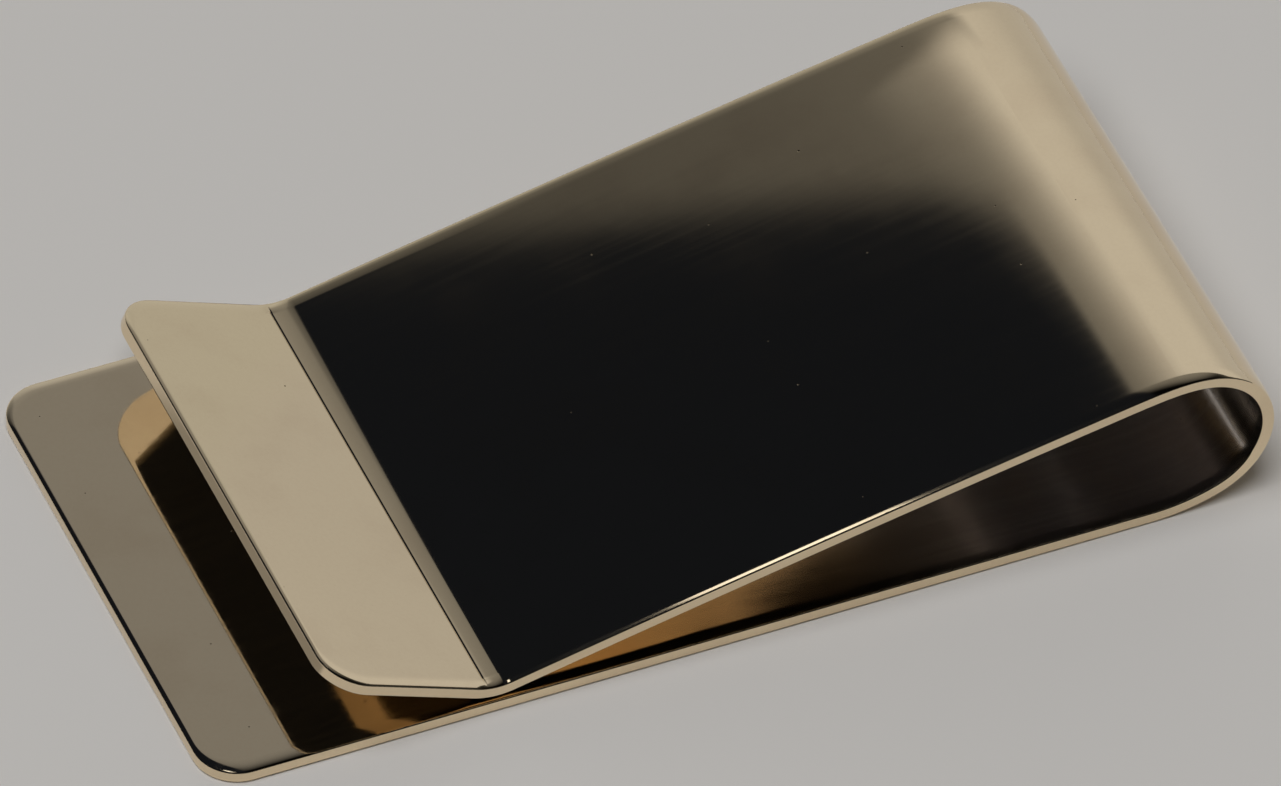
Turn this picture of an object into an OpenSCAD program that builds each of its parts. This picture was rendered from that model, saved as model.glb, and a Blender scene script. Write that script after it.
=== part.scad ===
// Money clip: one strip of spring brass folded over a teardrop loop, closed on a pinch bend,
// with a flared thumb lip. The strip is divided at its bend lines, so that each zone is a named part.
// Millimetres. +X runs from the free ends to the loop, +Y across the strip, +Z up.
// The origin is the centre of the overall box at the level of the underside.

/* [Strip] */
// Overall length, from the free end of the rear leaf to the loop
body_len = 50; // [40:0.5:65]
// Width of the strip
strip_w = 25; // [18:0.5:32]
// Thickness of the strip
strip_t = 0.7; // [0.5:0.05:1]
// Radius of the eased edges
edge_r = 0.18; // [0.05:0.01:0.24]
// Radius of the free corners, seen from above
corner_r = 2; // [0.5:0.1:5]

/* [Loop] */
// Inner radius of the loop
loop_r = 3.25; // [2.5:0.05:5]
// Inner radius of the gentler bend where the loop rises from the rear leaf
heel_r = 8; // [6:0.25:14]
// Angle turned by that gentler bend
heel_sweep = 22; // [10:1:35]

/* [Pinch] */
// Distance of the pinch from the free end of the rear leaf
pinch_x = 13.4; // [10:0.1:18]
// Clearance under the pinch with nothing in the clip
pinch_gap = 0.2; // [0.1:0.05:0.5]
// Radius of the top of the pinch bend
pinch_r = 2; // [0.8:0.1:3]

/* [Lip] */
// Length of the flat of the thumb lip
lip_len = 7.4; // [5:0.1:9]
// Angle of the thumb lip above the horizontal
lip_angle = 23; // [12:1:35]

/* [Hidden] */
$fn = 96;
quarter = 90;
// Where the free end of the rear leaf is
end_x = -body_len / 2;
// Radius of the underside of the pinch bend
pinch_outer = pinch_r + strip_t;

// Centres of the bends, as [x, z]
loop_c = [end_x + body_len - strip_t - loop_r,
          strip_t + heel_r - (heel_r - loop_r) * cos(heel_sweep)];
heel_c = [loop_c[0] - (heel_r - loop_r) * sin(heel_sweep), strip_t + heel_r];
pinch_c = [end_x + pinch_x, strip_t + pinch_gap + pinch_outer];

// The underside of the front leaf is the line that touches both the loop and the pinch bend
span = norm(loop_c - pinch_c);
leaf_angle = atan2(loop_c[1] - pinch_c[1], loop_c[0] - pinch_c[0])
             + asin((loop_r + pinch_outer) / span);
leaf_len = sqrt(span * span - pow(loop_r + pinch_outer, 2));

// The loop opens about a line on its outer surface, half way round it
loop_start = heel_sweep - quarter;
loop_end = quarter + leaf_angle;
loop_flex = (loop_start + loop_end) / 2;
// Each half of the loop is two arcs
low_arc_mid = (loop_start + loop_flex) / 2;
high_arc_mid = (loop_flex + loop_end) / 2;

brass = [0.78, 0.68, 0.47];
brass_dark = [0.70, 0.60, 0.40];
brass_light = [0.84, 0.75, 0.55];

// Section of a strip, lying along X and standing from zero to its thickness, with eased corners
module eased(width) {
    translate([-width / 2 + edge_r, 0])
        square([width - 2 * edge_r, strip_t]);
    translate([-width / 2, edge_r])
        square([width, strip_t - 2 * edge_r]);
    for (side = [-1, 1], level = [edge_r, strip_t - edge_r])
        translate([side * (width / 2 - edge_r), level])
            circle(r = edge_r);
}

// Half of such a section, from its middle outwards
module eased_half(reach) {
    intersection() {
        eased(2 * reach);
        square([reach, strip_t]);
    }
}

// A flat length of strip from x = 0 to x = length, standing on z = 0
module flat_run(length) {
    rotate([90, 0, 90])
        linear_extrude(length)
            eased(strip_w);
}

// A flat length whose end at x = 0 is free: its corners are rounded in plan and its edge is eased
module free_run(length) {
    inner_w = strip_w - 2 * corner_r;
    translate([corner_r, 0, 0])
        flat_run(length - corner_r);
    translate([corner_r, inner_w / 2, 0])
        rotate([90, 0, 0])
            linear_extrude(inner_w)
                mirror([1, 0])
                    eased_half(corner_r);
    for (side = [-1, 1])
        translate([corner_r, side * inner_w / 2, 0])
            rotate([0, 0, side > 0 ? quarter : 2 * quarter])
                rotate_extrude(angle = quarter)
                    eased_half(corner_r);
}

// A bend about the line across the strip through centre, from one angle to another
module bend(centre, inner_r, from_angle, to_angle) {
    translate([centre[0], 0, centre[1]])
        rotate([90, 0, 0])
            rotate([0, 0, from_angle])
                rotate_extrude(angle = to_angle - from_angle)
                    translate([inner_r + strip_t, 0])
                        rotate(quarter)
                            eased(strip_w);
}

module rear_leaf() {
    color(brass)
        translate([end_x, 0, 0])
            free_run(heel_c[0] - end_x);
}

module heel_bend() {
    color(brass_dark)
        bend(heel_c, heel_r, -quarter, loop_start);
}

module loop_rise() {
    color(brass)
        bend(loop_c, loop_r, loop_start, low_arc_mid);
}

module loop_apex_low() {
    color(brass_light)
        bend(loop_c, loop_r, low_arc_mid, loop_flex);
}

module loop_apex_high() {
    color(brass_dark)
        bend(loop_c, loop_r, loop_flex, high_arc_mid);
}

module loop_shoulder() {
    color(brass_light)
        bend(loop_c, loop_r, high_arc_mid, loop_end);
}

module front_leaf() {
    color(brass)
        translate([loop_c[0] + loop_r * cos(loop_end), 0, loop_c[1] + loop_r * sin(loop_end)])
            rotate([0, -leaf_angle, 0])
                translate([-leaf_len, 0, 0])
                    flat_run(leaf_len);
}

module pinch_bend() {
    color(brass_dark)
        bend(pinch_c, pinch_r, -quarter - lip_angle, leaf_angle - quarter);
}

module thumb_lip() {
    color(brass_light)
        translate([pinch_c[0] - pinch_outer * sin(lip_angle), 0,
                   pinch_c[1] - pinch_outer * cos(lip_angle)])
            rotate([0, lip_angle, 0])
                translate([-lip_len, 0, 0])
                    free_run(lip_len);
}

rear_leaf();
heel_bend();
loop_rise();
loop_apex_low();
loop_apex_high();
loop_shoulder();
front_leaf();
pinch_bend();
thumb_lip();
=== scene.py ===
"""Money clip: one sprung strip of polished brass, folded over a teardrop loop.

Every length is in metres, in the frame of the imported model. +X runs from the
free ends to the loop, +Y across the strip and +Z up. The strip follows one
middle line, given by how fast it turns along its length, and every piece is a
length of that strip, so neighbouring pieces meet on the same section.
"""

import logging
import math
from dataclasses import dataclass, replace
from enum import Enum

import bmesh
import bpy
import numpy as np
from bpy.types import Material, Node, NodeSocket, Object
from mathutils import Matrix, Vector


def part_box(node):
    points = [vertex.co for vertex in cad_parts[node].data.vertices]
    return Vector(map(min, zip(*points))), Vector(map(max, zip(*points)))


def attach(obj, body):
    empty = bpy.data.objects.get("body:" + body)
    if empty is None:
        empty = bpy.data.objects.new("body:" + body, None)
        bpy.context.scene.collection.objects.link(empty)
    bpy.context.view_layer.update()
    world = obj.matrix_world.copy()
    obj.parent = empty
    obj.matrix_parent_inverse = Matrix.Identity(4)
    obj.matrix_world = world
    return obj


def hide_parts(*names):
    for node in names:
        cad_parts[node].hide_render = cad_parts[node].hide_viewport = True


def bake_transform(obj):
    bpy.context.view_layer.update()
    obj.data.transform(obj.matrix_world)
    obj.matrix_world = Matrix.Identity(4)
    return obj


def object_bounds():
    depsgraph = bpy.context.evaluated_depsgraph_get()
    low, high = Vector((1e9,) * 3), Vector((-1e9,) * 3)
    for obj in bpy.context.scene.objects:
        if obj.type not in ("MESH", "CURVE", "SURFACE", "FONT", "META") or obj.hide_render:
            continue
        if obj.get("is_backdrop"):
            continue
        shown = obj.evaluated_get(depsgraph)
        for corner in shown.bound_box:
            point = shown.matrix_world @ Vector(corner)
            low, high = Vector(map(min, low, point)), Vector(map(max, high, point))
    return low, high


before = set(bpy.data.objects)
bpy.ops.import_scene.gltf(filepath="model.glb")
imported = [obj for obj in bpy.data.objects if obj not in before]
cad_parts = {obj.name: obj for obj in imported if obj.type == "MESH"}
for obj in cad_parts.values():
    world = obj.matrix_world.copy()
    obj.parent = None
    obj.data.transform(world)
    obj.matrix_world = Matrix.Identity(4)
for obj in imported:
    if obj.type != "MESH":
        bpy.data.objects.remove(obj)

MM = 0.001
LOG = logging.getLogger("money clip")
ALL_BUT_MIRRORS = ("camera", "diffuse", "shadow", "transmission", "volume_scatter")
PLACE = "strip_place"
WEAR = "edge_wear"
ROLL_WEAR = 0.8
PINCH_X = -11.6 * MM
LIP_RUN = 7.4 * MM
SHOULDER_LAP = 0.1 * MM

Pair = tuple[float, float]
Triple = tuple[float, float, float]


class Face(Enum):
    """The two broad faces of the strip, and the sign of each along its normal."""

    OUTER = 1
    INNER = -1


class Half(Enum):
    """The two bodies that the hinge of the loop joins."""

    REAR = "rear_half"
    FRONT = "front_half"


# ------------------- the strip


@dataclass(frozen=True)
class StripSection:
    """The section of the strip: flat faces that roll off to eased edges."""

    width: float
    thickness: float
    edge_radius: float = 0.08 * MM
    roll_width: float = 0.62 * MM
    roll_drop: float = 0.065 * MM
    roll_power: float = 2.2
    roll_steps: int = 12
    edge_steps: int = 7
    support: float = 0.05 * MM

    def half_profile(self) -> list[Triple]:
        """Follows one face from its flat field to the middle of the edge.

        Returns:
            Points of (inset from the edge, depth below the face, wear), where
            wear runs from 0 on the field to 1 on the edge.
        """
        reach = self.roll_width
        last_slope = self.roll_power * self.roll_drop / reach
        tilt = math.atan(last_slope)
        points = [(self.edge_radius + reach + self.support, 0.0, 0.0)]
        for step in range(self.roll_steps + 1):
            part = step / self.roll_steps
            inset = self.edge_radius * (1 - math.sin(tilt)) + reach * (1 - part)
            points.append((inset, self.roll_drop * part**self.roll_power, ROLL_WEAR * part))
        base = self.roll_drop - self.edge_radius * (1 - math.cos(tilt))
        for step in range(1, self.edge_steps + 1):
            turn = tilt + (math.pi / 2 - tilt) * step / self.edge_steps
            inset = self.edge_radius * (1 - math.sin(turn))
            depth = base + self.edge_radius * (1 - math.cos(turn))
            points.append((inset, depth, 1.0))
        points.append((0.0, depth + self.support / 2, 1.0))
        return points

    def rings(self) -> list[tuple[float, float, float, Face]]:
        """Both faces, from the outer field round the edge to the inner field.

        Returns:
            Points of (inset, height above the middle line, wear, face).
        """
        half = self.thickness / 2
        profile = self.half_profile()
        outer = [(i, half - d, w, Face.OUTER) for i, d, w in profile]
        inner = [(i, d - half, w, Face.INNER) for i, d, w in reversed(profile)]
        return outer + inner


@dataclass(frozen=True)
class Station:
    """One place on the middle line: how far along, where, and which way is out."""

    travel: float
    x: float
    z: float
    out_x: float
    out_z: float
    dip: float = 0.0


class StripLine:
    """The middle line of the strip, found from how fast it turns.

    It leaves the rear leaf along +X, turns up through the heel bend, round the
    loop, eases into the slightly crowned front leaf, turns back at the pinch
    and ends in the thumb lip. Four lengths are solved, so that the line keeps
    the overall length and height and the place of the pinch.
    """

    STEP = 0.02 * MM
    HEEL_RADIUS = 8.35 * MM
    HEEL_TURN = math.radians(22)
    PINCH_RADIUS = 3.0 * MM
    EASE_RUN = 6.0 * MM
    EASE_POWER = 3.0
    CROWN = 1.1
    LIP_ANGLE = math.radians(23)
    FIRST_SETBACK = 5.7 * MM
    FIRST_SIZES = (3.6 * MM, math.radians(137), 29.0 * MM)
    SOLVE_ROUNDS = 12
    TIP_STEPS = 60

    def __init__(
        self, thickness: float, end_x: float, loop_x: float, top_z: float,
        pinch: Pair, lip_run: float, loop_half: float,
    ) -> None:
        """Solves the line.

        Args:
            thickness: Thickness of the strip.
            end_x: Where the free end of the rear leaf is.
            loop_x: How far the outside of the loop reaches.
            top_z: How high the outside of the loop reaches.
            pinch: Lowest point of the pinch, as (x, z).
            lip_run: Length of the flat of the lip.
            loop_half: Where the loop ends on the front leaf, along X.
        """
        self.half = thickness / 2
        self.end_x = end_x
        self.lip_run = lip_run
        self.targets = np.array([loop_x, top_z, pinch[0], pinch[1]])
        sizes = np.array([loop_x - self.FIRST_SETBACK - end_x, *self.FIRST_SIZES])
        scale = np.array([MM, 0.1 * MM, 0.01, MM]) * 1e-3
        for _ in range(self.SOLVE_ROUNDS):
            miss = self._miss(sizes)
            slopes = [(self._miss(sizes + step) - miss) / step.sum() for step in np.diag(scale)]
            sizes = sizes - np.linalg.solve(np.transpose(slopes), miss)
        self.line, self.marks = self._trace(sizes)
        past = self.line[:, 0] > self.marks["loop start"]
        upper = past & (self.line[:, 2] > top_z / 2) & (self.line[:, 1] < loop_half)
        self.marks["loop end"] = float(self.line[np.argmax(upper), 0])

    def _trace(self, sizes: np.ndarray) -> tuple[np.ndarray, dict[str, float]]:
        """Adds up the turning of the line.

        Args:
            sizes: Rear run, loop radius, even turn of the loop, and leaf run.

        Returns:
            Rows of (travel, x, z, heading), and where each zone starts.
        """
        rear_run, radius, turn, leaf_run = (float(v) for v in sizes)
        crown = self.CROWN
        power = self.EASE_POWER
        zones = (
            ("rear leaf", rear_run, lambda u: 0 * u),
            ("heel", self.HEEL_RADIUS * self.HEEL_TURN, lambda u: 0 * u + 1 / self.HEEL_RADIUS),
            ("loop start", radius * turn, lambda u: 0 * u + 1 / radius),
            (
                "ease", self.EASE_RUN,
                lambda u: crown + (1 / radius - crown) * (1 - u) ** power * (1 + power * u),
            ),
            ("front leaf", leaf_run, lambda u: 0 * u + crown),
        )
        lengths, bends, marks, start = [], [], {}, 0.0
        for name, run, rate in zones:
            count = max(8, int(run / self.STEP))
            part = (np.arange(count) + 0.5) / count
            lengths.append(np.full(count, run / count))
            bends.append(rate(part))
            marks[name] = start
            start += run
        heading = float(sum((a * b).sum() for a, b in zip(lengths, bends)))
        back_turn = heading - (math.pi - self.LIP_ANGLE)
        for name, run, rate in (
            ("pinch", self.PINCH_RADIUS * back_turn, -1 / self.PINCH_RADIUS),
            ("lip", self.lip_run, 0.0),
        ):
            lengths.append(np.full(self.TIP_STEPS, run / self.TIP_STEPS))
            bends.append(np.full(self.TIP_STEPS, rate))
            marks[name] = start
            start += run
        marks["end"] = start
        step, bend = np.concatenate(lengths), np.concatenate(bends)
        travel = np.concatenate([[0], np.cumsum(step)])
        heading = np.concatenate([[0], np.cumsum(step * bend)])
        middle = (heading[1:] + heading[:-1]) / 2
        x = self.end_x + np.concatenate([[0], np.cumsum(np.cos(middle) * step)])
        z = self.half + np.concatenate([[0], np.cumsum(np.sin(middle) * step)])
        return np.stack([travel, x, z, heading], axis=1), marks

    def _miss(self, sizes: np.ndarray) -> np.ndarray:
        """How far a set of sizes leaves the line from its targets.

        Args:
            sizes: As for _trace.

        Returns:
            The misses of the loop's reach, its top, and the pinch's x and z.
        """
        line, marks = self._trace(sizes)
        out_x, out_z = np.sin(line[:, 3]), -np.cos(line[:, 3])
        loop = (line[:, 0] > marks["loop start"]) & (line[:, 0] < marks["front leaf"])
        reach = self._peak(line[loop, 0], (line[:, 1] + out_x * self.half)[loop])
        top = self._peak(line[loop, 0], (line[:, 2] + out_z * self.half)[loop])
        low = line[:, 0] > marks["pinch"] - 2 * MM
        under = (line[:, 2] - out_z * self.half)[low]
        lowest = int(np.argmin(under))
        tilt = line[low, 3][lowest] - math.pi
        place = (line[:, 1] - out_x * self.half)[low][lowest] + tilt * (
            self.PINCH_RADIUS + self.half
        )
        depth = -self._peak(line[low, 0], -under)
        return np.array([reach, top, place, depth]) - self.targets

    @staticmethod
    def _peak(along: np.ndarray, values: np.ndarray) -> float:
        """The highest value of a smooth curve, from the three points at its top.

        Args:
            along: Travel of each point.
            values: Value at each point.

        Returns:
            The height of the parabola through the top three points.
        """
        top = int(np.clip(np.argmax(values), 1, len(values) - 2))
        fit = np.polyfit(along[top - 1 : top + 2] - along[top], values[top - 1 : top + 2], 2)
        return float(fit[2] - fit[1] ** 2 / (4 * fit[0])) if fit[0] else float(values[top])

    def at(self, travel: float) -> Station:
        """The station at a given travel from the free end of the rear leaf."""
        x, z, heading = (
            float(np.interp(travel, self.line[:, 0], self.line[:, k])) for k in (1, 2, 3)
        )
        return Station(travel, x, z, math.sin(heading), -math.cos(heading))

    def run(self, start: float, end: float, step: float) -> list[Station]:
        """Stations along part of the line, closer together at both ends.

        Args:
            start: Travel of the first station.
            end: Travel of the last station.
            step: Spacing away from the ends.

        Returns:
            The stations in order.
        """
        lead = [0.0, 0.02 * MM, 0.06 * MM, 0.12 * MM]
        lead = [d for d in lead if d < (end - start) / 4]
        count = max(2, math.ceil((end - start - 2 * lead[-1]) / step))
        inner = np.linspace(start + lead[-1], end - lead[-1], count + 1)[1:-1]
        travels = [start + d for d in lead] + list(inner) + [end - d for d in reversed(lead)]
        return [self.at(t) for t in travels]


# ------------------- node writing


class NodeWriter:
    """A short way to add and join the nodes of one tree."""

    def __init__(self, tree: bpy.types.NodeTree) -> None:
        """Empties the tree and starts on it."""
        self.tree = tree
        tree.nodes.clear()

    def node(
        self, kind: str, given: dict[str | int, object] | None = None, **settings: object
    ) -> Node:
        """Adds a node.

        Args:
            kind: Type name of the node.
            given: What its sockets get: other sockets, or values (colours as r, g, b).
            settings: Properties to set on it.

        Returns:
            The node.
        """
        node = self.tree.nodes.new(kind)
        for key, value in settings.items():
            setattr(node, key, value)
        for key, value in (given or {}).items():
            target = node.inputs[key]
            if isinstance(value, NodeSocket):
                self.tree.links.new(value, target)
            else:
                target.default_value = (*value, 1.0) if target.type == "RGBA" else value
        return node

    def math(self, operation: str, *values: object, clamp: bool = False) -> NodeSocket:
        """Adds a Math node and gives its result; clamp keeps that between 0 and 1."""
        given = dict(enumerate(values))
        return self.node("ShaderNodeMath", given, operation=operation, use_clamp=clamp).outputs[0]

    def split(self, vector: NodeSocket) -> list[NodeSocket]:
        """Splits a vector into its three parts."""
        return list(self.node("ShaderNodeSeparateXYZ", {0: vector}).outputs)

    def between(
        self, value: NodeSocket, low: float, high: float,
        out_low: float = 0.0, out_high: float = 1.0,
    ) -> NodeSocket:
        """Maps a range smoothly onto another.

        Args:
            value: What is mapped.
            low: Where the ramp starts.
            high: Where it ends.
            out_low: The result at its start.
            out_high: The result at its end.

        Returns:
            The result's socket.
        """
        given = {
            "Value": value, "From Min": low, "From Max": high, "To Min": out_low,
            "To Max": out_high,
        }
        ramp = self.node("ShaderNodeMapRange", given, interpolation_type="SMOOTHSTEP")
        return ramp.outputs["Result"]


class MaterialWriter(NodeWriter):
    """A node writer on the tree of a new material."""

    def __init__(self, name: str) -> None:
        """Starts an empty material."""
        self.material = bpy.data.materials.new(name)
        self.material.use_nodes = True
        super().__init__(self.material.node_tree)

    def tint(self, factor: NodeSocket, under: object, over: object) -> NodeSocket:
        """Mixes two colours; factor is how much of the second one shows."""
        given = {"Factor": factor, "A": under, "B": over}
        return self.node("ShaderNodeMix", given, data_type="RGBA").outputs["Result"]

    def noise(
        self, vector: NodeSocket, scale: float, detail: float, offset: float,
        stretch: Triple = (1.0, 1.0, 1.0),
    ) -> NodeSocket:
        """Adds a noise pattern.

        Args:
            vector: Where it is read.
            scale: Its frequency, per metre.
            detail: How many finer layers it has.
            offset: A shift that makes one noise differ from another.
            stretch: Frequencies along the three axes, relative to scale.

        Returns:
            The value's socket, from 0 to 1.
        """
        location = (offset, offset * 0.7, offset * 0.3)
        given = {"Vector": vector, "Location": location, "Scale": stretch}
        shifted = self.node("ShaderNodeMapping", given).outputs[0]
        given = {"Vector": shifted, "Scale": scale, "Detail": detail}
        return self.node("ShaderNodeTexNoise", given).outputs["Fac"]

    def surface(self, shader: Node) -> Material:
        """Puts a shader on the surface and gives back the finished material."""
        self.node("ShaderNodeOutputMaterial", {"Surface": shader.outputs[0]})
        return self.material

    def layers(self, cover: NodeSocket, under: Node, over: Node) -> Material:
        """Puts two shaders on the surface; cover is how much of the upper one shows."""
        given = {0: cover, 1: under.outputs[0], 2: over.outputs[0]}
        return self.surface(self.node("ShaderNodeMixShader", given))


# ------------------- mesh building


def show(name: str, data: bpy.types.ID) -> Object:
    """Adds an object with the given data to the scene."""
    thing = bpy.data.objects.new(name, data)
    bpy.context.scene.collection.objects.link(thing)
    return thing


def show_points(
    name: str, points: list[Triple], edges: list[tuple[int, int]],
    layers: dict[str, list[float]],
) -> Object:
    """Adds points that carry values, for a tree to read.

    Args:
        name: Name of the object.
        points: Where the points lie.
        edges: Which of them are joined.
        layers: The values of each attribute, one for each point, or three if it
            is a direction.

    Returns:
        The object.
    """
    mesh = bpy.data.meshes.new(name)
    mesh.from_pydata(points, edges, [])
    for key, values in layers.items():
        wide = len(values) > len(points)
        layer = mesh.attributes.new(key, "FLOAT_VECTOR" if wide else "FLOAT", "POINT")
        layer.data.foreach_set("vector" if wide else "value", values)
    return show(name, mesh)


class SweepTree(NodeWriter):
    """A Geometry Nodes tree that sweeps the section of the strip along a line."""

    INPUTS = {
        "Section": "Object", "Width": "Float", "Fade": "Float", "Weld": "Float",
        "Finish": "Material",
    }
    FADE = 1.3
    FADE_POWER = 2.0
    WELD = 0.0005 * MM

    def __init__(self) -> None:
        """Builds the tree."""
        super().__init__(bpy.data.node_groups.new("swept strip", "GeometryNodeTree"))
        self.tree.is_modifier = True
        face = self.tree.interface
        for name, kind in {"Line": "Geometry", **self.INPUTS}.items():
            face.new_socket(name, in_out="INPUT", socket_type="NodeSocket" + kind)
        face.new_socket("Strip", in_out="OUTPUT", socket_type="NodeSocketGeometry")
        self._wire()

    def _read(
        self, source: NodeSocket, index: NodeSocket, name: str, kind: str = "FLOAT"
    ) -> NodeSocket:
        """Reads a value of another geometry at an index.

        Args:
            source: The geometry to read.
            index: Which of its points.
            name: The attribute, or nothing for the place of the point.
            kind: FLOAT or FLOAT_VECTOR.

        Returns:
            The value's socket.
        """
        if name:
            node = self.node("GeometryNodeInputNamedAttribute", {"Name": name}, data_type=kind)
            field = node.outputs["Attribute"]
        else:
            field = self.node("GeometryNodeInputPosition").outputs[0]
        given = {"Geometry": source, "Value": field, "Index": index}
        node = self.node("GeometryNodeSampleIndex", given, data_type=kind, domain="POINT")
        return node.outputs["Value"]

    def _add(self, first: NodeSocket, second: NodeSocket) -> NodeSocket:
        """Adds two vectors."""
        given = {0: first, 1: second}
        return self.node("ShaderNodeVectorMath", given, operation="ADD").outputs[0]

    def _wire(self) -> None:
        """Lays out the tree: a lattice, then its place, its attributes and its finish."""
        given = self.node("NodeGroupInput").outputs
        section = self.node(
            "GeometryNodeObjectInfo", {"Object": given["Section"]}, transform_space="ORIGINAL"
        )
        line, outline = given["Line"], section.outputs["Geometry"]
        stations, corners = (
            self.node(
                "GeometryNodeAttributeDomainSize", {"Geometry": source}, component="MESH"
            ).outputs["Point Count"]
            for source in (line, outline)
        )
        counts = {"Vertices X": stations, "Vertices Y": corners}
        mesh = self.node("GeometryNodeMeshGrid", counts).outputs["Mesh"]
        index = self.node("GeometryNodeInputIndex").outputs[0]
        station, corner = (
            self.node("FunctionNodeIntegerMath", {0: index, 1: corners}, operation=kind).outputs[0]
            for kind in ("DIVIDE_FLOOR", "MODULO")
        )
        place = self._read(line, station, "", "FLOAT_VECTOR")
        out = self._read(line, station, "outward", "FLOAT_VECTOR")
        travel, dip = (self._read(line, station, name) for name in ("travel", "dip"))
        side, wear, face = (
            self._read(outline, corner, name) for name in ("side", "wear", "face")
        )
        inset, level, _ = self.split(self._read(outline, corner, "", "FLOAT_VECTOR"))
        flat = self.math("SUBTRACT", 1.0, self.math("MULTIPLY", wear, given["Fade"]))
        flat = self.math("POWER", self.math("MAXIMUM", flat, 0.0), self.FADE_POWER)
        outer = self.math("GREATER_THAN", face, 0.0)
        sink = self.math("MULTIPLY", dip, self.math("MULTIPLY", flat, outer))
        height = self.math("SUBTRACT", level, sink)
        half_width = self.math("MULTIPLY", given["Width"], 0.5)
        across = self.math("MULTIPLY", side, self.math("SUBTRACT", half_width, inset))
        rise = self.node("ShaderNodeVectorMath", {0: out, "Scale": height}, operation="SCALE")
        sideways = self.node("ShaderNodeCombineXYZ", {1: across}).outputs[0]
        final = self._add(place, self._add(rise.outputs[0], sideways))
        strip_place = self.node("ShaderNodeCombineXYZ", {0: travel, 1: across, 2: face})
        for name, kind, value in (
            (PLACE, "FLOAT_VECTOR", strip_place.outputs[0]), (WEAR, "FLOAT", wear),
        ):
            stored = {"Name": name, "Geometry": mesh, "Value": value}
            mesh = self.node(
                "GeometryNodeStoreNamedAttribute", stored, data_type=kind, domain="POINT"
            ).outputs["Geometry"]
        for kind, extra in (
            ("GeometryNodeSetPosition", {"Position": final}),
            ("GeometryNodeMergeByDistance", {"Distance": given["Weld"]}),
            ("GeometryNodeRealizeInstances", {}),
            ("GeometryNodeSetMaterial", {"Material": given["Finish"]}),
        ):
            mesh = self.node(kind, {"Geometry": mesh, **extra}).outputs["Geometry"]
        self.node("NodeGroupOutput", {"Strip": mesh})

    def sweep(
        self, name: str, stations: list[Station], section: StripSection, finish: Material
    ) -> Object:
        """Makes one length of strip.

        Args:
            name: Name of the piece.
            stations: Where the section goes.
            section: The section of the strip.
            finish: Material of the piece.

        Returns:
            A closed mesh object.
        """
        layers = {
            "outward": [v for s in stations for v in (s.out_x, 0.0, s.out_z)],
            "travel": [s.travel for s in stations],
            "dip": [s.dip for s in stations],
        }
        points = [(s.x, 0.0, s.z) for s in stations]
        edges = [(k, k + 1) for k in range(len(points) - 1)]
        line = show_points(name + "_line", points, edges, layers)
        outline = self._section_object(section)
        sweep = line.modifiers.new("sweep", "NODES")
        sweep.node_group = self.tree
        sockets = {s.name: s.identifier for s in self.tree.interface.items_tree}
        values = (outline, section.width, self.FADE, self.WELD, finish)
        for socket, value in zip(self.INPUTS, values):
            sweep[sockets[socket]] = value
        bpy.context.view_layer.update()
        evaluated = line.evaluated_get(bpy.context.evaluated_depsgraph_get())
        mesh = bpy.data.meshes.new_from_object(evaluated)
        if mesh.materials[0] is None:
            mesh.materials.pop(index=0)
        for helper in (line, outline):
            bpy.data.objects.remove(helper)
        mesh.name = name
        close_and_smooth(mesh)
        return show(name, mesh)

    @staticmethod
    def _section_object(section: StripSection) -> Object:
        """The closed outline of the section, as insets and heights.

        Args:
            section: The section of the strip.

        Returns:
            An object whose points hold (inset, height) and their side and face.
        """
        rings = section.rings()
        near = [(i, h, w, f.value, -1.0) for i, h, w, f in rings]
        far = [(i, h, w, f.value, 1.0) for i, h, w, f in reversed(rings)]
        corners = near + far + near[:1]
        layers = {
            name: [float(corner[column]) for corner in corners]
            for name, column in (("wear", 2), ("face", 3), ("side", 4))
        }
        return show_points("strip_section", [(c[0], c[1], 0.0) for c in corners], [], layers)


def close_and_smooth(mesh: bpy.types.Mesh) -> None:
    """Closes the cut ends of a length of strip, and shades all but those smooth.

    Args:
        mesh: The mesh to finish.
    """
    work = bmesh.new()
    work.from_mesh(mesh)
    open_edges = [e for e in work.edges if e.is_boundary]
    caps = bmesh.ops.holes_fill(work, edges=open_edges, sides=0)["faces"] if open_edges else []
    bmesh.ops.recalc_face_normals(work, faces=work.faces[:])
    for face in work.faces:
        face.smooth = True
        face.material_index = 0
    for cap in caps:
        cap.smooth = False
        for edge in cap.edges:
            edge.smooth = False
    work.to_mesh(mesh)
    work.free()
    mesh.update()


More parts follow.
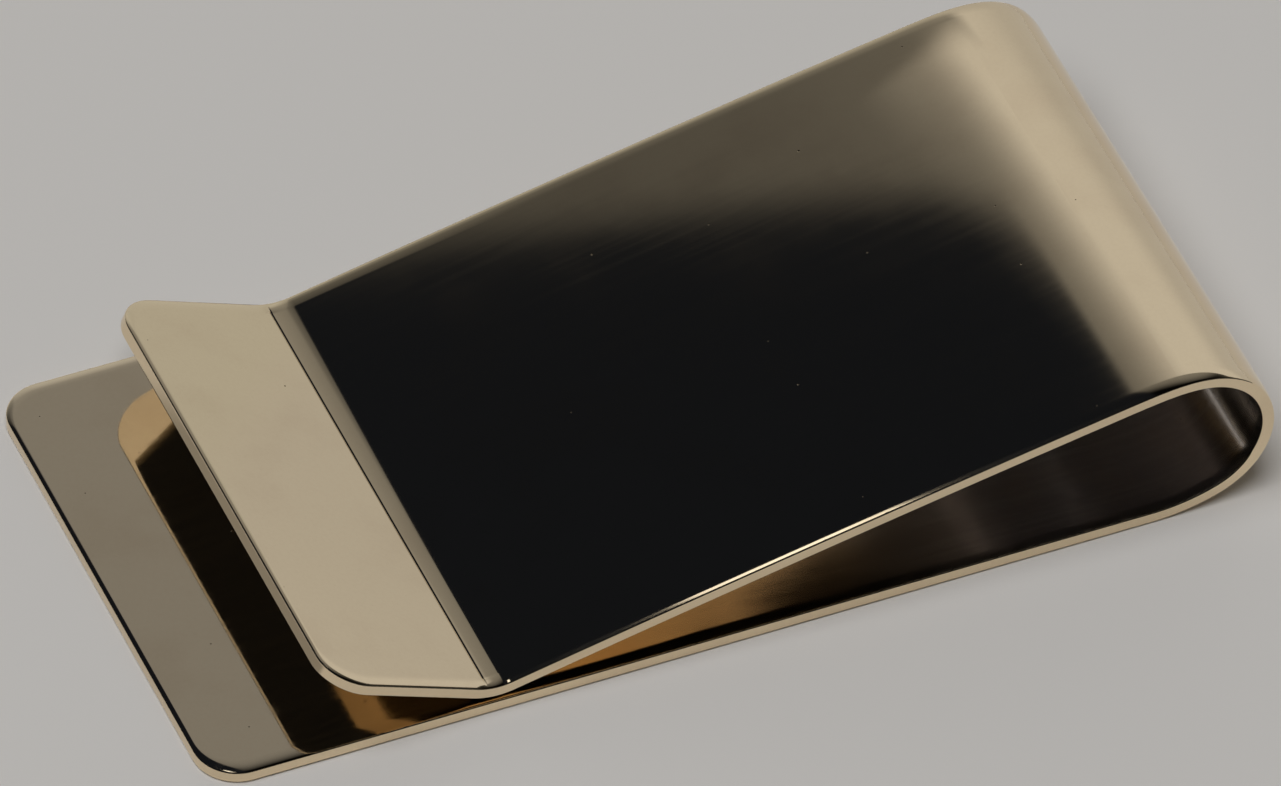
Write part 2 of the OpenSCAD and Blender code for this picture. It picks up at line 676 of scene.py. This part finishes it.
@dataclass(frozen=True)
class FreeBlade:
    """A flat length of strip with one free end, its corners rounded in plan."""

    name: str
    first: Station
    last: Station
    section: StripSection
    corner_radius: float
    corner_softening: float = 0.85
    end_sharpness: float = 0.35
    corner_steps: int = 14
    side_steps: int = 6

    def _outline(self, inset: float, run: float) -> list[Pair]:
        """One ring of the blade, from the cut on one side round to the other.

        Args:
            inset: How far inside the edge it lies.
            run: Length of the blade.

        Returns:
            Points of (distance from the free end, distance across).
        """
        half = self.section.width / 2
        radius = self.corner_radius - inset * (1 - self.corner_softening)
        radius = min(radius, self.corner_radius)
        back, centre = inset * self.end_sharpness + radius, inset + radius
        side = [
            (run + (back - run) * k / self.side_steps, inset - half)
            for k in range(self.side_steps)
        ]
        corner = []
        for k in range(self.corner_steps + 1):
            turn = math.pi / 2 * k / self.corner_steps
            corner.append(
                (back - radius * math.sin(turn), centre - half - radius * math.cos(turn))
            )
        near = side + corner
        return near + [(x, -y) for x, y in reversed(near)]

    def build(self, finish: Material) -> Object:
        """Makes the blade.

        Args:
            finish: Material of the piece.

        Returns:
            A closed mesh object.
        """
        free, cut = self.first, self.last
        run = abs(cut.travel - free.travel)
        origin = Vector((free.x, 0.0, free.z))
        along = (Vector((cut.x, 0.0, cut.z)) - origin).normalized()
        out = Vector((free.out_x, 0.0, free.out_z))
        forward = 1.0 if cut.travel > free.travel else -1.0
        work = bmesh.new()
        place = work.verts.layers.float_vector.new(PLACE)
        worn = work.verts.layers.float.new(WEAR)
        rings = []
        for inset, height, wear, face in self.section.rings():
            ring = []
            for x, y in self._outline(inset, run):
                vert = work.verts.new(origin + along * x + out * height + Vector((0.0, y, 0.0)))
                vert[place] = (free.travel + forward * x, y, face.value)
                vert[worn] = wear
                ring.append(vert)
            rings.append(ring)
        for above, below in zip(rings, rings[1:]):
            for k in range(len(above) - 1):
                work.faces.new((above[k], above[k + 1], below[k + 1], below[k]))
        work.faces.new(rings[0])
        work.faces.new(rings[-1])
        mesh = bpy.data.meshes.new(self.name)
        work.to_mesh(mesh)
        work.free()
        mesh.materials.append(finish)
        close_and_smooth(mesh)
        return show(self.name, mesh)


# ------------------- finishes


@dataclass(frozen=True)
class PolishedBrass:
    """Mirror-polished champagne brass, with the marks that polishing leaves and painted shade on
    the inside of the loop.
    """

    name: str
    loop_middle: float
    seed: float
    colour: Triple = (0.90, 0.745, 0.515)
    inner_colour: Triple = (0.88, 0.74, 0.54)
    loop_shade_colour: Triple = (0.69, 0.655, 0.635)
    tarnish: Triple = (0.72, 0.56, 0.38)
    # painted shade: a darker, greyer colour for the inner faces near the middle of the loop
    pit_colour: Triple = (0.05, 0.035, 0.02)
    deep_near: float = 13 * MM
    deep_far: float = 24 * MM
    cloud_scale: float = 260.0
    grain_scale: float = 5200.0
    mottle: float = 0.24
    edge_film: float = 0.06
    roughness: float = 0.035
    haze: float = 0.015
    streak_scale: float = 900.0
    streak_stretch: Triple = (0.06, 3.5, 1.0)
    streak_roughness: float = 0.02
    streak_height: float = 0.00005 * MM
    edge_roughness: float = 0.03
    deep_roughness: float = 0.12
    pit_roughness: float = 0.45
    peel_scale: float = 420.0
    peel_height: float = 0.00035 * MM
    pits_per_metre: float = 190.0
    pit_radius: float = 0.055 * MM
    pit_height: float = -0.01 * MM
    nick_scale: float = 1700.0
    nick_height: float = -0.006 * MM

    def make(self) -> Material:
        """Builds the material.

        Returns:
            The material, patterned along the strip and through its thickness.
        """
        w = MaterialWriter(self.name)
        place = w.node("ShaderNodeAttribute", attribute_name=PLACE).outputs["Vector"]
        worn = w.node("ShaderNodeAttribute", attribute_name=WEAR).outputs["Fac"]
        solid = w.node("ShaderNodeTexCoord").outputs["Object"]
        travel, _, face = w.split(place)
        inner = w.math("LESS_THAN", face, 0.0)
        inner = w.math("MULTIPLY", inner, w.between(worn, ROLL_WEAR, 0.95, 1.0, 0.0))
        away = w.math("ABSOLUTE", w.math("SUBTRACT", travel, self.loop_middle))
        # where the painted shade inside the loop falls; the same mask also roughens the polish
        # there
        deep = w.math("MULTIPLY", inner, w.between(away, self.deep_near, self.deep_far, 1.0, 0.0))
        pits = self._pits(w, place)
        cloud = w.noise(solid, self.cloud_scale, 3.0, self.seed)
        streak = w.noise(
            place, self.streak_scale, 4.0, self.seed + 0.4, stretch=self.streak_stretch
        )

        grain = w.noise(solid, self.grain_scale, 1.0, self.seed + 0.2)
        fine = w.between(grain, 0.3, 0.8, 0.0, self.mottle * 0.3)
        film = w.math("ADD", w.between(cloud, 0.42, 0.75, 0.0, self.mottle), fine)
        film = w.math("ADD", film, w.math("MULTIPLY", worn, self.edge_film))
        film = w.math("ADD", film, pits, clamp=True)
        colour = w.tint(inner, self.colour, self.inner_colour)
        # painted shade: the inner faces deep in the loop take a darker, greyer colour
        colour = w.tint(deep, colour, self.loop_shade_colour)
        colour = w.tint(film, colour, self.tarnish)
        colour = w.tint(pits, colour, self.pit_colour)

        rub = w.between(streak, 0.35, 0.75, 0.0, self.streak_roughness)
        rub = w.math("MULTIPLY", rub, w.math("MULTIPLY_ADD", inner, 2.0, 0.5))
        rough = w.math("ADD", rub, w.between(cloud, 0.4, 0.8, 0.0, self.haze))
        rough = w.math("ADD", rough, self.roughness)
        for where, more in (
            (worn, self.edge_roughness), (deep, self.deep_roughness), (pits, self.pit_roughness),
        ):
            rough = w.math("MULTIPLY_ADD", where, more, rough)

        peel = w.noise(solid, self.peel_scale, 2.0, self.seed + 0.9)
        height = w.math("MULTIPLY", peel, self.peel_height)
        for where, rise in (
            (streak, self.streak_height), (self._nicks(w, travel, worn), self.nick_height),
            (pits, self.pit_height),
        ):
            height = w.math("MULTIPLY_ADD", where, rise, height)
        bump = w.node("ShaderNodeBump", {"Strength": 1.0, "Distance": 1.0, "Height": height})

        given = {
            "Metallic": 1.0, "Base Color": colour, "Roughness": rough,
            "Normal": bump.outputs["Normal"],
        }
        return w.surface(w.node("ShaderNodeBsdfPrincipled", given))

    def _pits(self, w: MaterialWriter, place: NodeSocket) -> NodeSocket:
        """Sparse round pits in the polish.

        Args:
            w: The material being written.
            place: Where on the strip a point lies.

        Returns:
            A mask that is 1 in a pit.
        """
        shift = {"Vector": place, "Location": (self.seed + 0.013, 0.007, 0.0)}
        given = {
            "Vector": w.node("ShaderNodeMapping", shift).outputs[0], "Scale": self.pits_per_metre,
        }
        cells = w.node("ShaderNodeTexVoronoi", given, voronoi_dimensions="2D", feature="F1")
        draw = w.node("ShaderNodeSeparateColor", {0: cells.outputs["Color"]}).outputs
        chosen = w.math("GREATER_THAN", draw[0], 0.55)
        size = w.math("MULTIPLY_ADD", draw[1], 0.7, 0.3)
        radius = w.math("MULTIPLY", size, self.pit_radius * self.pits_per_metre)
        inside = w.math("DIVIDE", cells.outputs["Distance"], radius)
        return w.math("MULTIPLY", w.between(inside, 0.6, 1.1, 1.0, 0.0), chosen)

    def _nicks(self, w: MaterialWriter, travel: NodeSocket, worn: NodeSocket) -> NodeSocket:
        """Small dents along the eased edges.

        Args:
            w: The material being written.
            travel: How far along the strip a point lies.
            worn: The wear attribute.

        Returns:
            A mask that is 1 in a dent.
        """
        given = {"W": travel, "Scale": self.nick_scale, "Detail": 1.0}
        line = w.node("ShaderNodeTexNoise", given, noise_dimensions="1D")
        dents = w.between(line.outputs["Fac"], 0.70, 0.80)
        return w.math("MULTIPLY", dents, w.between(worn, 0.75, 1.0))


# ------------------- sub-assemblies


def report(piece: Object, body: str) -> None:
    """Logs one finished piece."""
    LOG.info("%s: %d faces, on %s", piece.name, len(piece.data.polygons), body)


def settle(pieces: dict[str, Object], half: Half) -> None:
    """Puts rigid pieces in the places of their nodes.

    Args:
        pieces: The pieces, by the names of their nodes.
        half: The body they ride on.
    """
    for node, piece in pieces.items():
        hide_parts(node)
        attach(piece, half.value)
        report(piece, half.value)


@dataclass
class RearHalf:
    """The half that lies flat: the rear leaf, and the heel bend that lifts it."""

    line: StripLine
    section: StripSection
    sweeper: SweepTree
    corner_radius: float = 2.0 * MM
    bend_step: float = 0.12 * MM

    def build(self, finish: PolishedBrass) -> list[Object]:
        """Makes both pieces.

        Args:
            finish: Their finish.

        Returns:
            The rear leaf and the heel bend.
        """
        brass = finish.make()
        heel, loop = self.line.marks["heel"], self.line.marks["loop start"]
        leaf = FreeBlade(
            "rear_leaf_strip", self.line.at(0.0), self.line.at(heel),
            self.section, self.corner_radius,
        ).build(brass)
        bend = self.sweeper.sweep(
            "heel_bend_strip", self.line.run(heel, loop, self.bend_step), self.section, brass
        )
        return [leaf, bend]

    def dress(self, leaf: Object, bend: Object) -> None:
        """Puts both pieces in the places of their nodes."""
        settle({"rear_leaf": leaf, "heel_bend": bend}, Half.REAR)


@dataclass
class SpringLoop:
    """The teardrop loop, from the top of the heel bend round to the front leaf."""

    line: StripLine
    section: StripSection
    sweeper: SweepTree
    step: float = 0.1 * MM
    clear: float = 0.03 * MM

    def build(self, finish: PolishedBrass) -> Object:
        """Makes the loop.

        Args:
            finish: Its finish.

        Returns:
            The loop.
        """
        start, end = self.line.marks["loop start"], self.line.marks["loop end"]
        return self.sweeper.sweep(
            "spring_loop_strip", self.line.run(start, end, self.step), self.section, finish.make()
        )

    def dress(self, loop: Object) -> None:
        """Hides the loop's nodes and bakes the loop's place into its mesh.

        Args:
            loop: The loop.
        """
        first = self.line.at(self.line.marks["loop start"])
        last = self.line.at(self.line.marks["loop end"])
        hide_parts("loop_rise", "loop_apex_low", "loop_apex_high", "loop_shoulder")
        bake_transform(loop)
        report(loop, "both halves")


@dataclass
class FrontHalf:
    """The half that lifts: the front leaf, the pinch bend and the thumb lip."""

    line: StripLine
    section: StripSection
    sweeper: SweepTree
    corner_radius: float = 2.0 * MM
    ease_step: float = 0.15 * MM
    leaf_step: float = 0.5 * MM
    bend_step: float = 0.02 * MM
    crease_from_lip: float = 0.55 * MM
    groove_depth: float = 0.05 * MM
    groove_width: float = 0.018 * MM

    def build(self, finish: PolishedBrass) -> list[Object]:
        """Makes the three pieces.

        Args:
            finish: Their finish.

        Returns:
            The front leaf, the pinch bend and the thumb lip.
        """
        brass = finish.make()
        marks = self.line.marks
        start, ease, pinch, lip = (
            marks[name] for name in ("loop end", "front leaf", "pinch", "lip")
        )
        stations = self.line.run(start, ease, self.ease_step)[:-3]
        stations += self.line.run(ease, pinch, self.leaf_step)[3:]
        leaf = self.sweeper.sweep("front_leaf_strip", stations, self.section, brass)
        bend = self.sweeper.sweep(
            "pinch_bend_strip", self._creased(pinch, lip), self.section, brass
        )
        tip = FreeBlade(
            "thumb_lip_strip", self.line.at(marks["end"]), self.line.at(lip),
            self.section, self.corner_radius,
        ).build(brass)
        return [leaf, bend, tip]

    def _creased(self, start: float, end: float) -> list[Station]:
        """Stations of the pinch bend, whose top is pressed down to a sharp crease.

        The top leaves the leaf on an easier curve than the bend's own, dips
        below it, and meets the plane of the lip in a fine groove.

        Args:
            start: Where the bend starts.
            end: Where it ends.

        Returns:
            The stations, each with how far the top dips.
        """
        radius = self.line.PINCH_RADIUS - self.section.thickness / 2
        turn = (end - start) / self.line.PINCH_RADIUS
        corner = radius * math.tan(turn / 2)
        past = corner - self.crease_from_lip
        reach = corner + past * math.cos(turn)
        rise = past * math.sin(turn)
        easy = (reach**2 + rise**2) / (2 * rise)
        stations = []
        for place in self.line.run(start, end, self.bend_step):
            angle = (place.travel - start) / self.line.PINCH_RADIUS
            left = turn - angle
            lip_dip = radius / math.cos(left) - radius
            leaf_dip = self._easy_dip(radius, easy, angle)
            dip = min(lip_dip, leaf_dip)
            seam = abs(lip_dip - leaf_dip)
            dip += self.groove_depth * max(0.0, 1 - seam / self.groove_width)
            stations.append(replace(place, dip=dip))
        return stations

    @staticmethod
    def _easy_dip(radius: float, easy: float, angle: float) -> float:
        """How far a wider arc lies below a tighter one, an angle past their shared start."""
        offset = easy - radius
        return math.sqrt(easy**2 - (offset * math.sin(angle)) ** 2) - (
            radius + offset * math.cos(angle)
        )

    def dress(self, leaf: Object, bend: Object, tip: Object) -> None:
        """Puts the three pieces in the places of their nodes."""
        settle({"front_leaf": leaf, "pinch_bend": bend, "thumb_lip": tip}, Half.FRONT)


# ------------------- studio


@dataclass(frozen=True)
class Camera:
    """The camera: a long lens, held a little off level."""

    azimuth: float = -25.47
    elevation: float = 45.51
    roll: float = 3.0
    distance: float = 874.8 * MM
    target: Triple = (1.42 * MM, 2.28 * MM, 0.7 * MM)
    lens: float = 562.55
    sensor: float = 36.0

    def place(self) -> None:
        """Makes the camera and gives it to the scene."""
        az, el = math.radians(self.azimuth), math.radians(self.elevation)
        back = Vector(
            (math.sin(az) * math.cos(el), -math.cos(az) * math.cos(el), math.sin(el))
        )
        right = (-back).cross(Vector((0, 0, 1))).normalized()
        up = right.cross(-back)
        roll = math.radians(self.roll)
        across = right * math.cos(roll) + up * math.sin(roll)
        upward = up * math.cos(roll) - right * math.sin(roll)
        data = bpy.data.cameras.new("studio camera")
        data.sensor_width = self.sensor
        data.lens = self.lens
        data.clip_start, data.clip_end = 0.01, 50.0
        camera = show("studio_camera", data)
        turn = Matrix((across, upward, back)).transposed().to_4x4()
        camera.matrix_world = Matrix.Translation(Vector(self.target) + back * self.distance) @ turn
        bpy.context.scene.camera = camera


@dataclass(frozen=True)
class Studio:
    """A pale floor under soft light, with a dark ceiling for the polish to show.

    The cards are seen by the metal alone: a black flag overhead, a pale card
    behind the loop, two patches of painted shadow on the floor where the clip's
    shadow falls, and a small bright strip.
    """

    floor_z: float
    floor_size: float = 6.0
    floor_colour: Triple = (0.80, 0.775, 0.745)
    backdrop: Triple = (0.50, 0.48, 0.455)
    key_power: float = 20.0
    key_size: float = 1.4
    key_place: Triple = (-0.5, -0.3, 1.7)
    room_levels: tuple[Pair, ...] = (
        (0.00, 0.50), (0.28, 0.46), (0.42, 0.42), (0.52, 0.28), (0.62, 0.10), (0.75, 0.04),
        (0.9, 0.012), (1.0, 0.01),
    )
    room_tint: Triple = (1.0, 1.01, 0.975)
    fall_forward: Triple = (0.3, 0.62, 0.12)
    fall_left: Triple = (-0.45, -0.05, 0.04)
    glow_direction: Triple = (0.33, 0.63, 0.703)
    glow_edge: float = 0.89
    glow_level: float = 0.215
    strip_level: float = 1.3
    flag_colour: Triple = (0.0066, 0.0082, 0.0125)
    shadow_soft: float = 5 * MM
    shadow_level: float = 0.01
    shadow_lift: float = 0.05 * MM

    def build(self) -> None:
        """Makes the floor, the lights, the surroundings and the cards."""
        self._floor()
        self._surroundings()
        self._key()
        self._dark_flag()
        self._bright_card()
        # painted shadow: dark patches on the floor, seen only in the metal, where the clip's
        # shadow falls behind it and beside it
        self._painted_shadow("mat_behind", (9 * MM, 26.5 * MM), (19 * MM, 15.5 * MM), 1.0)
        self._painted_shadow("mat_beside", (-36 * MM, 3 * MM), (12 * MM, 15 * MM), 0.5)
        self._top_strip()

    def _sheet(
        self, name: str, first: Triple, last: Triple, material: Material,
        hidden_from: tuple[str, ...] = ALL_BUT_MIRRORS,
    ) -> None:
        """Adds a rectangle that lies level, or stands along X.

        Args:
            name: Its name.
            first: One corner.
            last: The opposite corner.
            material: What it is made of.
            hidden_from: The kinds of ray that don't see it.
        """
        (x0, y0, z0), (x1, y1, z1) = first, last
        mesh = bpy.data.meshes.new(name)
        corners = [(x0, y0, z0), (x1, y0, z0), (x1, y1, z1), (x0, y1, z1)]
        mesh.from_pydata(corners, [], [(0, 1, 2, 3)])
        mesh.materials.append(material)
        sheet = show(name, mesh)
        for ray in hidden_from:
            setattr(sheet, "visible_" + ray, False)
        sheet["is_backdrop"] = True

    def _floor(self) -> None:
        """A large matt floor under the clip."""
        half = self.floor_size / 2
        w = MaterialWriter("pale floor")
        matt = w.surface(w.node("ShaderNodeBsdfDiffuse", {"Color": self.floor_colour}))
        first, last = (-half, -half, self.floor_z), (half, half, self.floor_z)
        self._sheet("studio_floor", first, last, matt, hidden_from=())

    def _surroundings(self) -> None:
        """The room: pale low down, falling to a dark ceiling."""
        world = bpy.data.worlds.new("studio room")
        world.use_nodes = True
        bpy.context.scene.world = world
        w = NodeWriter(world.node_tree)
        way = w.node("ShaderNodeTexCoord").outputs["Generated"]
        x, y, z = w.split(way)
        ramp = w.node("ShaderNodeValToRGB", {0: z})
        elements = ramp.color_ramp.elements
        while len(elements) < len(self.room_levels):
            elements.new(0.5)
        for element, (height, level) in zip(elements, self.room_levels):
            element.position = height
            element.color = (*(level * part for part in self.room_tint), 1.0)
        level = w.math(
            "MULTIPLY", w.between(y, *self.fall_forward), w.between(x, *self.fall_left)
        )
        low_room = w.node("ShaderNodeBackground", {"Color": ramp.outputs[0], "Strength": level})
        given = {0: way, 1: self.glow_direction}
        toward = w.node("ShaderNodeVectorMath", given, operation="DOT_PRODUCT").outputs["Value"]
        glow = w.between(toward, self.glow_edge, 1.0, 0.0, self.glow_level)
        high_room = w.node("ShaderNodeBackground", {"Strength": glow})
        room = w.node("ShaderNodeAddShader", {0: low_room.outputs[0], 1: high_room.outputs[0]})
        plain = w.node("ShaderNodeBackground", {"Color": self.backdrop})
        direct = w.node("ShaderNodeLightPath").outputs["Is Camera Ray"]
        given = {0: direct, 1: room.outputs[0], 2: plain.outputs[0]}
        mix = w.node("ShaderNodeMixShader", given)
        w.node("ShaderNodeOutputWorld", {"Surface": mix.outputs[0]})

    def _key(self) -> None:
        """A large soft lamp that lights the floor but isn't mirrored in the metal."""
        data = bpy.data.lights.new("soft key", "AREA")
        data.shape = "DISK"
        data.size = self.key_size
        data.energy = self.key_power
        lamp = show("soft_key", data)
        lamp.location = self.key_place
        lamp.rotation_euler = (-lamp.location).to_track_quat("-Z", "Y").to_euler()
        lamp.visible_glossy = False

    def _dark_flag(self) -> None:
        """A black flag above the clip, whose soft corner shows on the front leaf."""
        height, left, near = 250 * MM, -350 * MM, -100 * MM
        right, far, slant, soft, rounding = 29.5 * MM, 199 * MM, -0.43, 2 * MM, 18 * MM
        thin_from, thin_to, thinnest = 10 * MM, 40 * MM, 0.74
        past_right, past_far = right + 50 * MM, far + 250 * MM
        w = MaterialWriter("black flag")
        x, y, _ = w.split(w.node("ShaderNodeTexCoord").outputs["Object"])
        aside = w.math("SUBTRACT", x, right)
        beyond = w.math("SUBTRACT", y, w.math("MULTIPLY_ADD", aside, slant, far))
        edge = w.math("SMOOTH_MAX", beyond, aside, rounding)
        thin = w.between(x, thin_from, thin_to, thinnest, 1.0)
        gone = w.math("MULTIPLY", w.between(edge, -soft, soft), thin)
        black = w.node("ShaderNodeEmission", {"Color": self.flag_colour})
        cloth = w.layers(gone, black, w.node("ShaderNodeBsdfTransparent"))
        self._sheet("black_flag", (left, near, height), (past_right, past_far, height), cloth)

    def _bright_card(self) -> None:
        """A pale card standing behind the loop, whose near side fades away."""
        behind, left, right, top = 45 * MM, 10 * MM, 250 * MM, 84 * MM
        row, side, lean, notch = 52 * MM, 15.5 * MM, 0.16, (-6 * MM, -1.5 * MM)
        setback, least, widening, spread_at_row = 15 * MM, 8 * MM, 0.9, 17 * MM
        dim_below, dim, bright, easing = 22 * MM, 0.455, 0.56, 0.8
        w = MaterialWriter("pale card")
        x, _, z = w.split(w.node("ShaderNodeTexCoord").outputs["Object"])
        above = w.math("SUBTRACT", z, row)
        inside = w.math("SUBTRACT", x, side)
        inside = w.math("SUBTRACT", inside, w.math("MULTIPLY", above, lean))
        below = w.between(above, *notch, setback, 0.0)
        inside = w.math("SUBTRACT", inside, below)
        spread = w.math("MULTIPLY_ADD", above, widening, spread_at_row)
        spread = w.math("MAXIMUM", spread, least)
        part = w.math("DIVIDE", inside, spread, clamp=True)
        shown = w.between(w.math("POWER", part, easing), 0.0, 1.0)
        level = w.between(z, dim_below, row, dim, bright)
        pale = w.node("ShaderNodeEmission", {"Strength": level})
        paper = w.layers(shown, w.node("ShaderNodeBsdfTransparent"), pale)
        self._sheet("pale_card", (left, behind, self.floor_z), (right, behind, top), paper)

    def _painted_shadow(self, name: str, middle: Pair, half: Pair, cover: float) -> None:
        """A soft-edged patch of painted shadow on the floor, which only darkens reflections.

        Args:
            name: Its name.
            middle: Where its middle lies.
            half: Half its size, along and across.
            cover: How much of the floor's light it takes away.
        """
        w = MaterialWriter(name)
        place = w.split(w.node("ShaderNodeTexCoord").outputs["Object"])
        masks = []
        for along, centre, reach in zip(place, middle, half):
            away = w.math("ABSOLUTE", w.math("SUBTRACT", along, centre))
            masks.append(w.between(away, reach - self.shadow_soft, reach, 1.0, 0.0))
        shown = w.math("MULTIPLY", w.math("MULTIPLY", *masks), cover)
        # painted shadow: a nearly black emitter laid over the floor
        dark = w.node("ShaderNodeEmission", {"Strength": self.shadow_level})
        shadow_film = w.layers(shown, w.node("ShaderNodeBsdfTransparent"), dark)
        height = self.floor_z + self.shadow_lift
        first, last = ((*(m + s * h for m, h in zip(middle, half)), height) for s in (-1, 1))
        self._sheet(name, first, last, shadow_film)

    def _top_strip(self) -> None:
        """A small bright strip overhead, which draws the highlights on the edges."""
        w = MaterialWriter("strip light")
        height = 245 * MM
        first, last = (-21 * MM, 26 * MM, height), (-3 * MM, 70 * MM, height)
        glow = w.surface(w.node("ShaderNodeEmission", {"Strength": self.strip_level}))
        self._sheet("strip_light", first, last, glow)


# ------------------- main


def main() -> None:
    """Builds the clip in its studio."""
    logging.basicConfig(level=logging.INFO, format="%(message)s")
    cad_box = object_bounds()
    low, high = cad_box
    section = StripSection(width=high[1] - low[1], thickness=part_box("rear_leaf")[1][2] - low[2])
    pinch_low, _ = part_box("pinch_bend")
    shoulder_low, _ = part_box("loop_shoulder")
    line = StripLine(
        thickness=section.thickness,
        end_x=low[0],
        loop_x=high[0],
        top_z=high[2],
        pinch=(PINCH_X, pinch_low[2]),
        lip_run=LIP_RUN,
        loop_half=shoulder_low[0] + SHOULDER_LAP,
    )
    Camera().place()
    sweeper = SweepTree()
    loop_middle = (line.marks["loop start"] + line.marks["loop end"]) / 2
    rear = RearHalf(line, section, sweeper)
    loop = SpringLoop(line, section, sweeper)
    front = FrontHalf(line, section, sweeper)
    rear.dress(*rear.build(PolishedBrass("polished brass, rear", loop_middle, seed=0.31)))
    loop.dress(loop.build(PolishedBrass("polished brass, loop", loop_middle, seed=0.57)))
    front.dress(*front.build(PolishedBrass("polished brass, front", loop_middle, seed=0.83)))
    Studio(floor_z=low[2]).build()
    bpy.context.scene.view_settings.view_transform = "Standard"
    bpy.context.view_layer.update()


if __name__ == "__main__":
    main()
